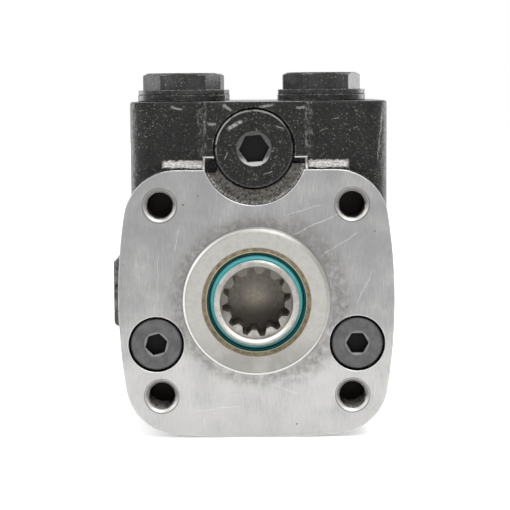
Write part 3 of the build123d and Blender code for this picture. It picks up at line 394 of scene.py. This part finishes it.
def recessLipHighlight(tree, x, y, z):  # paint gone from the upper corners of the recess, the bare edges coloured near white as a painted highlight
    fromMiddle = size(tree, plus(tree, x, 0.1 * mm))
    lipTop = recess["top"] + 0.6 * mm
    across = times(
        tree,
        between(tree, fromMiddle, 12.0 * mm, 15.9 * mm, 0.1 * mm),
        between(tree, z, recess["top"], lipTop, 0.12 * mm),
    )
    upright = times(
        tree,
        between(tree, fromMiddle, 15.35 * mm, 15.95 * mm, 0.12 * mm),
        between(tree, z, 38.5 * mm, lipTop, 0.2 * mm),
    )
    reach = times(tree, fade(tree, y, 0.5 * mm, 0.9 * mm), below(tree, y, 7.9 * mm, 8.3 * mm))
    return times(tree, anyOf(tree, across, upright), reach)


ledge = {
    "inner": 16.2 * mm,
    "outer": 28.2 * mm,
    "low": 41.2 * mm,
    "high": 43.1 * mm,
    "dark": (0.3, 0.295, 0.28),
    "light": (0.82, 0.81, 0.79),
}


def ledgeLook(tree, point, sideX, y, z):  # rough bare bead along the cast ledge over the flange, its near-white mottle partly painted light from above
    ragged = plus(tree, z, times(tree, grain(tree, point, 1.2 * mm, 4), 1.4 * mm))
    mask = times(
        tree,
        between(tree, sideX, ledge["inner"], ledge["outer"], 0.7 * mm),
        between(tree, ragged, ledge["low"], ledge["high"], 0.3 * mm),
        fade(tree, y, 0.3 * mm, 0.8 * mm),
        below(tree, y, 7.5 * mm, 8.5 * mm),
    )
    # bare cast mottle, made near white as painted light from above on the slope
    mottle = patches(tree, point, 0.7 * mm, 4, 0.7, 0.4, 0.62)
    return mask, mixColor(tree, mottle, ledge["dark"], ledge["light"])


block = {
    "top": 60.39 * mm,
    "marks": [  # x, z, length and width in millimetres, angle in degrees
        (-8.4, 58.6, 3.4, 0.9, -35), (3.6, 59, 5, 0.7, 8), (-13.2, 53.7, 3, 0.8, -8), (13.8, 58.7, 3, 0.8, 4),
        (38.3, 50, 17, 0.3, 84), (-24, 58.4, 4, 0.6, -14), (24.5, 55, 2.6, 0.2, 12), (21, 51.5, 3, 0.2, 20),
    ],
}


def blockPaint(tree, point, edges):  # chipped at the edges, marked in front, worn along the boss and pad, with a painted highlight on the pad's left front edge
    x, y, z = splitPoint(tree, point)
    color, roughness = paintLook(tree, point)
    chipped = times(tree, edges, patches(tree, point, 1.6 * mm, 5, 0.75, 0.44, 0.6))
    color = cover(tree, color, chipped, paint["chip"], 0.6)
    front = below(tree, y, 9 * mm, 12 * mm)
    for mark in block["marks"]:
        color = cover(tree, color, times(tree, stroke(tree, point, *mark), front), paint["chip"], 0.45)
    fromMiddle = size(tree, calc(tree, "SUBTRACT", x, 0.1 * mm))
    bossCorner = between(tree, fromMiddle, 15.0 * mm, 17.6 * mm, 0.4 * mm)
    worn = times(
        tree,
        bossCorner,
        below(tree, y, 7.2 * mm, 8 * mm),
        fade(tree, z, 43.2 * mm, 43.6 * mm),
        patches(tree, turned(tree, point, 0, (1, 1, 0.5)), 1.0 * mm, 5, 0.75, 0.46, 0.64),
    )
    color = cover(tree, color, worn, paint["chip"], 0.36)
    # rubbed paint and a painted highlight: grey patches along the pad's left front edge
    padFrontRubAndHighlight = times(
        tree,
        fade(tree, x, -40.2 * mm, -41.2 * mm),
        between(tree, y, 14.0 * mm, 15.8 * mm, 0.5 * mm),
        patches(tree, point, 2.4 * mm, 5, 0.7, 0.35, 0.6),
    )
    return cover(tree, color, padFrontRubAndHighlight, paint["chip"], 0.35), roughness


def makeHousingFinish():
    material, tree, shader = newFinish("housingFinish", paint["color"], 0.35, 0.0, paint["gloss"])
    point = objectPoint(tree)
    x, y, z = splitPoint(tree, point)
    sideX = size(tree, x)
    softNormal, edges = roundedEdges(tree, 0.6 * mm)
    paintColor, paintRough = blockPaint(tree, point, edges)

    # bare metal: flange face, pilot boss and block top
    ironColor, ironLines = brushedIron(tree, point)
    fromHole = fromAxis(tree, joinPoint(tree, sideX, size(tree, z)), boltHole["at"], boltHole["at"])
    # painted highlight: near white along the bare edges, fainter near the bolt holes
    edgeHighlights = times(tree, edges, fade(tree, fromHole, 6.5 * mm, 7.5 * mm, 0.15, 0.7))
    ironColor = pilotLook(tree, point, cover(tree, ironColor, edgeHighlights, iron["rim"]))
    face = below(tree, y, 0.12 * mm, 0.3 * mm)
    outline = times(tree, between(tree, fromHole, 5.15 * mm, 5.4 * mm, 0.1 * mm), face)
    ironColor = cover(tree, ironColor, outline, boltHole["outline"], 0.75)
    machined = patches(tree, point, 9 * mm, 4, 0.55, 0.3, 0.5)
    top = times(tree, fade(tree, z, block["top"] - 0.09 * mm, block["top"]), machined)

    inHole, holeColor = holeLook(tree, y, z, fromHole)
    inRecess, recessColor = recessLook(tree, point)
    onLipHighlight = recessLipHighlight(tree, x, y, z)
    onLedge, ledgeColor = ledgeLook(tree, point, sideX, y, z)
    color = cover(tree, paintColor, anyOf(tree, face, top), ironColor)
    color = cover(tree, color, onLedge, ledgeColor)
    color = cover(tree, color, inRecess, recessColor)
    color = cover(tree, color, onLipHighlight, recess["lip"], 0.9)
    color = cover(tree, color, inHole, holeColor)
    feed(tree, shader.inputs["Base Color"], color)
    feed(tree, shader.inputs["Metallic"], times(tree, anyOf(tree, face, inHole, top), 0.75))

    bare = anyOf(tree, face, inHole, inRecess, onLedge, top, onLipHighlight)
    rough = anyOf(tree, inRecess, onLedge)
    ironRough = mixValue(tree, grain(tree, point, 1.5 * mm, 2), 0.34, 0.5)
    smooth = mixValue(tree, bare, paintRough, ironRough)
    feed(tree, shader.inputs["Roughness"], mixValue(tree, rough, smooth, 0.75))
    cast = plus(tree, grain(tree, point, 1.6 * mm, 4, 0.6), times(tree, grain(tree, point, 0.5 * mm, 2), 0.35))
    castHeight = mixValue(tree, bare, cast, 0.5)
    castHeight = mixValue(tree, rough, castHeight, times(tree, grain(tree, point, 0.6 * mm, 4, 0.7), 2.0))
    normal = bump(tree, castHeight, 0.4 * mm, 0.9, softNormal)
    feed(tree, shader.inputs["Normal"], bump(tree, times(tree, ironLines, face), 0.02 * mm, 0.6, normal))
    return material


def makePaintedFinish(name, grainSize, turnedMarks, dustAmount, haze, gloss):
    material, tree, shader = newFinish(name, paint["color"], 0.35, 0.0, gloss)
    point = objectPoint(tree)
    softNormal, edges = roundedEdges(tree, 0.35 * mm)
    color, roughness = paintLook(tree, point, dustAmount)
    hazed = patches(tree, point, 7 * mm, 4, 0.55, 0.35, 0.65, 0.3, 1.0)
    color = cover(tree, color, hazed, paint["haze"], haze)
    chipped = times(tree, edges, patches(tree, point, 2.2 * mm, 5, 0.7, 0.45, 0.62))
    color = cover(tree, color, chipped, paint["chip"], 0.7)
    feed(tree, shader.inputs["Base Color"], color)
    feed(tree, shader.inputs["Roughness"], roughness)
    height = grain(tree, point, grainSize, 3)
    if turnedMarks:
        height = plus(tree, height, grain(tree, turned(tree, point, 0, (0.05, 6, 0.05)), 1.5 * mm, 2))
    feed(tree, shader.inputs["Normal"], bump(tree, height, 0.08 * mm, 0.7, softNormal))
    return material


relief = {
    "x": -0.4 * mm,
    "z": 46.1 * mm,
    # socket: painted shade colour deep in the socket
    "socket": (0.008, 0.008, 0.008),
    "marks": [  # x, z, length and width in millimetres, angle in degrees
        (-6.2, 53.3, 5.5, 1.0, 28), (7.5, 52.6, 3, 0.2, -18), (-9, 44, 2.5, 0.2, 70), (4, 38.8, 2.6, 0.25, 20),
    ],
}


def makeReliefPlugFinish():  # paint scuffed on the face, worn off the rim and round the socket, with a painted highlight on the rim towards the upper left, painted light on the lower side of the socket mouth and painted shade deep in the socket
    material, tree, shader = newFinish("reliefPlugFinish", paint["color"], 0.3, 0.0, paint["gloss"])
    point = objectPoint(tree)
    x, y, z = splitPoint(tree, point)
    color, roughness = paintLook(tree, point, 1.2)
    radius = fromAxis(tree, point, relief["x"], relief["z"])
    softNormal, edges = roundedEdges(tree, 0.3 * mm)
    # painted highlight: the worn rim is brightened towards the upper left
    leftTopHighlight = fade(tree, calc(tree, "SUBTRACT", z, times(tree, x, 0.4)), 47 * mm, 55 * mm, 0.2, 1.6)
    rimEdge = fade(tree, radius, 11.3 * mm, 11.5 * mm)
    rim = times(tree, rimEdge, leftTopHighlight, patches(tree, point, 3 * mm, 4, 0.55, 0.3, 0.44))
    # paint worn round the socket mouth, with painted light making its lower side brighter
    mouth = times(
        tree,
        below(tree, radius, 5.25 * mm, 5.4 * mm),
        below(tree, y, 4.1 * mm, 4.4 * mm),
        fade(tree, z, 44 * mm, 41.6 * mm, 0.35, 2.2),
    )
    scuff = patches(tree, turned(tree, point, -28, (1, 1, 3.2)), 2.6 * mm, 5, 0.7, 0.64, 0.7)
    upperLeft = times(tree, fade(tree, z, 47 * mm, 51 * mm), below(tree, x, -1 * mm, 2 * mm))
    strokes = [stroke(tree, point, *mark) for mark in relief["marks"]]
    scuff = anyOf(tree, times(tree, scuff, upperLeft), *strokes)
    # worn holds rubbed paint together with the painted rim highlight and the painted light at the socket mouth
    worn = anyOf(tree, times(tree, rim, 0.8), times(tree, mouth, 0.42), times(tree, scuff, 0.7))
    color = cover(tree, color, worn, paint["chip"])
    # painted shade: near black deeper in the socket
    inSocket = fade(tree, y, 4.2 * mm, 6.5 * mm)
    feed(tree, shader.inputs["Base Color"], cover(tree, color, inSocket, relief["socket"]))
    feed(tree, shader.inputs["Roughness"], mixValue(tree, worn, roughness, 0.4))
    feed(tree, shader.inputs["Normal"], bump(tree, grain(tree, point, 2.5 * mm, 3), 0.05 * mm, 0.6, softNormal))
    return material


def makeSteelFinish(name, dark, light, roughness, metallic=0.9, mottleSize=2.0 * mm, scratches=0.3):
    material, tree, shader = newFinish(name, light, roughness, metallic)
    point = objectPoint(tree)
    mottle = grain(tree, point, mottleSize, 5, 0.6)
    rub = patches(tree, turned(tree, point, 40, (8, 2, 0.6)), 1.2 * mm, 4, 0.7, 0.6, 0.7)
    color = mixColor(tree, fade(tree, mottle, 0.35, 0.65), dark, light)
    brighter = tuple(min(1.0, channel * 1.5 + 0.02) for channel in light)
    feed(tree, shader.inputs["Base Color"], cover(tree, color, rub, brighter, scratches))
    feed(tree, shader.inputs["Roughness"], mixValue(tree, mottle, roughness - 0.08, roughness + 0.1))
    softNormal, edges = roundedEdges(tree, 0.2 * mm)
    feed(tree, shader.inputs["Normal"], bump(tree, grain(tree, point, 0.5 * mm, 3), 0.015 * mm, 0.5, softNormal))
    return material


shock = {
    "x": 30.65 * mm,
    "z": -13.2 * mm,
    "mouth": 3.65 * mm,
    "mouthColor": (0.22, 0.22, 0.22),
    # socket: painted shade colour deep in the socket
    "socket": (0.006, 0.006, 0.006),
}
oxide = {
    "dark": (0.058, 0.058, 0.06),
    "light": (0.09, 0.09, 0.092),
    "roughness": 0.42,
    "metallic": 0.35,
    "mottleSize": 3.0 * mm,
    "scratches": 0.12,
}


def makeShockPlugFinish():  # blackened steel with a paler ring round a socket that has painted shade deeper in it
    material = makeSteelFinish("shockPlugFinish", **oxide)
    tree = material.node_tree
    shader = tree.nodes["Principled BSDF"]
    x, y, z = splitPoint(tree, objectPoint(tree))
    radius = fromAxis(tree, joinPoint(tree, size(tree, x), z), shock["x"], shock["z"])
    inMouth = below(tree, radius, shock["mouth"], shock["mouth"] + 0.15 * mm)
    mouth = times(tree, inMouth, fade(tree, y, 0.2 * mm, 0.28 * mm))
    # painted shade: near black, not metallic and with little specular deeper in the socket
    inSocket = below(tree, radius, shock["mouth"], shock["mouth"] + 0.3 * mm)
    socket = times(tree, inSocket, fade(tree, y, 0.55 * mm, 1.1 * mm))
    steelColor = shader.inputs["Base Color"].links[0].from_socket
    color = cover(tree, steelColor, mouth, shock["mouthColor"], 0.6)
    feed(tree, shader.inputs["Base Color"], cover(tree, color, socket, shock["socket"]))
    feed(tree, shader.inputs["Metallic"], mixValue(tree, socket, oxide["metallic"], 0.0))
    feed(tree, shader.inputs["Specular IOR Level"], mixValue(tree, socket, 0.5, 0.1))
    return material


spoolLook = {
    "dark": (0.28, 0.266, 0.243),
    "light": (0.4, 0.386, 0.358),
    "boreShade": (0.13, 0.112, 0.09),
    "lipShade": (0.2, 0.178, 0.165),
    "lipShine": (0.85, 0.84, 0.82),
    "toothShade": (0.085, 0.078, 0.066),
    "floorMiddle": (0.62, 0.54, 0.43),
    "floorEdgeShade": (0.26, 0.225, 0.19),
    "floorMottle": (0.36, 0.335, 0.3),
    "floorShade": (0.035, 0.029, 0.023),
}


def makeSpoolFinish():  # ground lip with painted shade above and a painted highlight below, spline ends with painted shade at the top, painted shade deeper in the bore and a brown oily floor with painted shade round its edge and lower part
    material, tree, shader = newFinish("spoolFinish", spoolLook["light"], 0.35, 0.7)
    point = objectPoint(tree)
    x, y, z = splitPoint(tree, point)
    radius = fromAxis(tree, point)
    mottle = grain(tree, point, 1.6 * mm, 6, 0.65)
    color = mixColor(tree, fade(tree, mottle, 0.35, 0.65), spoolLook["dark"], spoolLook["light"])
    inside = below(tree, radius, 11.0 * mm, 11.3 * mm)
    # painted shade: darker and browner deeper in the bore
    color = cover(tree, color, times(tree, fade(tree, y, -3.0 * mm, 6 * mm), inside), spoolLook["boreShade"])
    lip = between(tree, radius, 11.1 * mm, 12.1 * mm, 0.35 * mm)
    lip = times(tree, lip, below(tree, y, -5.2 * mm, -4.6 * mm))
    upper = times(tree, lip, fade(tree, z, -2 * mm, 8 * mm, 0.0, 0.45))
    lower = times(tree, lip, fade(tree, z, -4 * mm, -10 * mm, 0.0, 0.7))
    color = cover(tree, cover(tree, color, upper, spoolLook["lipShade"]), lower, spoolLook["lipShine"])
    toothEnds = times(tree, between(tree, y, -3.5 * mm, -2.6 * mm, 0.2 * mm), inside)
    toothEnds = times(tree, toothEnds, fade(tree, z, -9 * mm, -1 * mm, 0.0, 0.85))
    color = cover(tree, color, toothEnds, spoolLook["toothShade"])
    floor = times(tree, fade(tree, y, 13.4 * mm, 13.9 * mm), inside)
    # painted shade: the floor darkens towards its edge
    outward = fade(tree, radius, 0.5 * mm, 6 * mm)
    floorColor = mixColor(tree, outward, spoolLook["floorMiddle"], spoolLook["floorEdgeShade"])
    spots = patches(tree, point, 1.1 * mm, 5, 0.7, 0.35, 0.7)
    floorColor = cover(tree, floorColor, spots, spoolLook["floorMottle"])
    floorColor = cover(tree, floorColor, fade(tree, z, 0.5 * mm, -7 * mm, 0.0, 0.7), spoolLook["floorShade"])
    feed(tree, shader.inputs["Base Color"], cover(tree, color, floor, floorColor))
    feed(tree, shader.inputs["Metallic"], mixValue(tree, floor, 0.7, 0.25))
    feed(tree, shader.inputs["Roughness"], mixValue(tree, floor, mixValue(tree, mottle, 0.28, 0.42), 0.6))
    feed(tree, shader.inputs["Normal"], bump(tree, grain(tree, point, 0.8 * mm, 4), 0.04 * mm, 0.6))
    return material


seal = {
    "groove": (0.006, 0.085, 0.09),
    "low": (0.012, 0.15, 0.155),
    "high": (0.035, 0.3, 0.31),
    "mottle": (0.08, 0.28, 0.29),
}


def makeSealFinish():  # teal wiper lip, with painted shade in its groove and painted light that makes it darker towards the bottom
    material, tree, shader = newFinish("tealSealFinish", seal["high"], 0.3)
    point = objectPoint(tree)
    height = splitPoint(tree, point)[2]
    ridge = between(tree, fromAxis(tree, point), 13.0 * mm, 14.15 * mm, 0.25 * mm)
    # painted light: darker towards the bottom, lighter towards the top
    lit = mixColor(tree, fade(tree, height, -9 * mm, 9 * mm), seal["low"], seal["high"])
    color = mixColor(tree, ridge, seal["groove"], lit)
    color = cover(tree, color, grain(tree, point, 2 * mm, 4), seal["mottle"], 0.2)
    feed(tree, shader.inputs["Base Color"], color)
    feed(tree, shader.inputs["Roughness"], mixValue(tree, grain(tree, point, 1 * mm, 3), 0.22, 0.4))
    feed(tree, shader.inputs["Normal"], bump(tree, grain(tree, point, 1.2 * mm, 2), 0.02 * mm, 0.5))
    return material


sealCase = {"dark": (0.1, 0.078, 0.043), "light": (0.2, 0.165, 0.1), "edge": (0.36, 0.33, 0.24)}


def makeSealCaseFinish():  # brown plated case with a bright inner edge
    material, tree, shader = newFinish("sealCaseFinish", sealCase["light"], 0.36, 0.75)
    point = objectPoint(tree)
    mottle = patches(tree, point, 1.5 * mm, 5, 0.7, 0.35, 0.65)
    color = mixColor(tree, mottle, sealCase["dark"], sealCase["light"])
    edge = between(tree, fromAxis(tree, point), 15.15 * mm, 15.32 * mm, 0.06 * mm)
    feed(tree, shader.inputs["Base Color"], cover(tree, color, edge, sealCase["edge"]))
    feed(tree, shader.inputs["Roughness"], mixValue(tree, grain(tree, point, 1 * mm, 3), 0.26, 0.46))
    feed(tree, shader.inputs["Normal"], bump(tree, grain(tree, point, 0.5 * mm, 3), 0.02 * mm, 0.6))
    return material


def makeRubberFinish(name, color, roughness):
    material, tree, shader = newFinish(name, color, roughness)
    point = objectPoint(tree)
    paler = tuple(channel * 1.8 + 0.01 for channel in color)
    mottle = grain(tree, point, 1 * mm, 3)
    feed(tree, shader.inputs["Base Color"], mixColor(tree, grain(tree, point, 1.5 * mm, 4), color, paler))
    feed(tree, shader.inputs["Roughness"], mixValue(tree, mottle, roughness - 0.1, roughness + 0.1))
    feed(tree, shader.inputs["Normal"], bump(tree, grain(tree, point, 0.4 * mm, 3), 0.02 * mm, 0.6))
    return material


painted = {  # name, grain size, turned marks, dust, haze and gloss
    "cover_paint": ("turnedPaintFinish", 2.0 * mm, True, 1.0, 0.0, 0.16),
    "black_paint": ("plugPaintFinish", 1.2 * mm, False, 1.2, 0.3, 0.17),
    "washer_paint": ("washerPaintFinish", 0.8 * mm, False, 1.2, 0.12, 0.16),
}
steels = {  # name, dark and light colour, roughness, metallic
    "copper": ("copperFinish", (0.5, 0.2, 0.1), (0.7, 0.33, 0.2), 0.3, 0.9),
    "ground_steel": ("groundFinish", (0.42, 0.42, 0.41), (0.58, 0.58, 0.57), 0.25, 1.0),
    "spring_steel": ("springFinish", (0.16, 0.16, 0.18), (0.3, 0.3, 0.33), 0.32, 0.9),
    "screw_steel": ("screwFinish", (0.22, 0.22, 0.21), (0.36, 0.355, 0.34), 0.38, 0.9),
}
rubbers = {  # name, colour, roughness
    "seal_rubber": ("rubberFinish", (0.015, 0.015, 0.015), 0.55),
    "ptfe": ("ptfeFinish", (0.05, 0.09, 0.095), 0.45),
}
finishes = {
    "housing_paint": makeHousingFinish(),
    "oxide_steel": makeSteelFinish("oxideFinish", **oxide),
    "seal_teal": makeSealFinish(),
    "seal_case": makeSealCaseFinish(),
    "spool_steel": makeSpoolFinish(),
}
for makeFinish, family in ((makePaintedFinish, painted), (makeSteelFinish, steels), (makeRubberFinish, rubbers)):
    for slot, values in family.items():
        finishes[slot] = makeFinish(*values)
reliefPlugFinish = makeReliefPlugFinish()
shockPlugFinish = makeShockPlugFinish()
ownFinish = {
    "relief_valve_plug": reliefPlugFinish,
    "shock_valve_plug_left": shockPlugFinish,
    "shock_valve_plug_right": shockPlugFinish,
}
for subpart in frame["record"]["subparts"]:
    skin = nodes[subpart["node"]].data.materials
    skin.clear()
    skin.append(ownFinish.get(subpart["node"], finishes[subpart["material_slot"]]))
print("finishes set:", len(finishes) + 2)

springJoints = {  # each coil spring and the joint of its valve's lift
    "relief_spring": "relief_lift",
    "shock_spring_left": "shock_lift_left",
    "shock_spring_right": "shock_lift_right",
}
for name, jointName in springJoints.items():
    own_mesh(nodes[name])

thread = {
    "pitch": 1.5 * mm,
    "turns": 10,
    "start": 1.0 * mm,
    "root": 4.3 * mm,
    "crest": 3.93 * mm,
    "steps": 36,
}
threadFinish = makeSteelFinish("threadFinish", (0.14, 0.13, 0.12), (0.42, 0.41, 0.39), 0.35, 0.9, 1.0 * mm)


def buildThread(name, x, z):  # a triangle screwed round the hole's axis
    height = thread["root"] - thread["crest"]
    bpy.ops.object.select_all(action="DESELECT")
    bpy.ops.mesh.primitive_circle_add(vertices=3, radius=height / 1.5, fill_type="NGON")
    ridge = bpy.context.object
    ridge.name = name
    bpy.ops.object.mode_set(mode="EDIT")
    bpy.ops.mesh.select_all(action="SELECT")
    bpy.ops.transform.rotate(value=math.radians(-90), orient_axis="Z", center_override=(0, 0, 0))
    bpy.ops.transform.translate(value=(thread["root"] - height / 3, 0, 0))
    bpy.ops.mesh.delete(type="ONLY_FACE")
    bpy.ops.object.mode_set(mode="OBJECT")
    turns = ridge.modifiers.new("turns", "SCREW")
    turns.axis = "Y"
    turns.screw_offset = thread["pitch"]
    turns.iterations = thread["turns"]
    turns.steps = turns.render_steps = thread["steps"]
    bpy.ops.object.modifier_apply(modifier="turns")
    bpy.ops.object.mode_set(mode="EDIT")
    bpy.ops.mesh.select_all(action="SELECT")
    bpy.ops.mesh.fill_holes(sides=3)
    bpy.ops.mesh.select_all(action="SELECT")
    bpy.ops.mesh.normals_make_consistent(inside=False)
    bpy.ops.object.mode_set(mode="OBJECT")
    ridge.location = (x, thread["start"], z)
    bpy.ops.object.transform_apply(location=True, rotation=True, scale=True)
    ridge.data.materials.append(threadFinish)
    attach(ridge, "housing_assembly")
    return ridge


for side, x in (("left", -boltHole["at"]), ("right", boltHole["at"])):
    for row, z in (("upper", boltHole["at"]), ("lower", -boltHole["at"])):
        buildThread(f"column_thread_{row}_{side}", x, z)
print("column threads made")

stage = {"reach": 3.0, "height": cadBox[0].z, "color": (0.9, 0.9, 0.9), "glow": 0.45}
bpy.ops.object.select_all(action="DESELECT")
bpy.ops.mesh.primitive_plane_add(size=2 * stage["reach"], location=(0, 0, stage["height"]))
floor = bpy.context.object
floor.name = "studioFloor"
floorSkin, floorTree, floorShader = newFinish("floorFinish", stage["color"], 0.9, 0.0, 0.1)
paths = floorTree.nodes.new("ShaderNodeLightPath")
seen = anyOf(floorTree, paths.outputs["Is Camera Ray"], paths.outputs["Is Glossy Ray"])
floorShader.inputs["Emission Color"].default_value = (1, 1, 1, 1)
feed(floorTree, floorShader.inputs["Emission Strength"], times(floorTree, seen, stage["glow"]))
floor.data.materials.append(floorSkin)

studio = {"front": 0.12, "back": 1.1, "top": 0.9}  # how bright the surroundings are on each side
world = bpy.data.worlds.new("studioWorld")
world.use_nodes = True
bpy.context.scene.world = world
skyTree = world.node_tree
sky = skyTree.nodes["Background"]
sky.inputs["Color"].default_value = (1, 1, 1, 1)
skyX, skyY, skyZ = splitPoint(skyTree, skyTree.nodes.new("ShaderNodeTexCoord").outputs["Generated"])
behind = fade(skyTree, skyY, -0.7, -0.05, studio["front"], studio["back"])
above = fade(skyTree, skyZ, 0.15, 0.9, studio["front"], studio["top"])
seenSky = skyTree.nodes.new("ShaderNodeLightPath").outputs["Is Camera Ray"]
feed(skyTree, sky.inputs["Strength"], mixValue(skyTree, seenSky, anyOf(skyTree, behind, above), 1.0))

lamps = {  # watts, size and place in metres
    "keySoftbox": (6.5, 0.7, (0.25, -0.35, 0.9)),
    "sideSoftbox": (2.5, 0.6, (-0.8, -0.4, 0.45)),
    "leftRimSoftbox": (3.3, 0.5, (-0.75, 0.65, 0.15)),
    "rightRimSoftbox": (3.3, 0.5, (0.75, 0.65, 0.15)),
    "lowSoftbox": (3.8, 0.8, (0.2, -1.1, 0.5)),
}
lampAim = Vector((0, 0.03, 0.01))
for name, (watts, width, place) in lamps.items():
    bpy.ops.object.light_add(type="AREA", location=place)
    lamp = bpy.context.object
    lamp.name = name
    lamp.data.energy = watts
    lamp.data.size = width
    lamp.rotation_euler = (lampAim - Vector(place)).to_track_quat("-Z", "Y").to_euler()

view = {
    "place": (-0.25 * mm, -560 * mm, 65.3 * mm),
    "aim": (-0.355 * mm, 0, 14.0 * mm),
    "roll": -0.0078,
    "focal": 1853.5 / 510,  # focal length as a share of the sensor's width
    "sensor": 36,
}
bpy.ops.object.camera_add(location=view["place"])
camera = bpy.context.object
camera.name = "studioCamera"
camera.rotation_mode = "QUATERNION"
camera.rotation_quaternion = (Vector(view["aim"]) - camera.location).to_track_quat("-Z", "Y")
camera.rotation_mode = "XYZ"
camera.rotation_euler.rotate_axis("Z", view["roll"])
camera.data.sensor_width = view["sensor"]
camera.data.lens = view["focal"] * view["sensor"]
camera.data.clip_start = 0.01
bpy.context.scene.camera = camera
bpy.context.scene.view_settings.view_transform = "Standard"
print("stage, lamps and camera set")
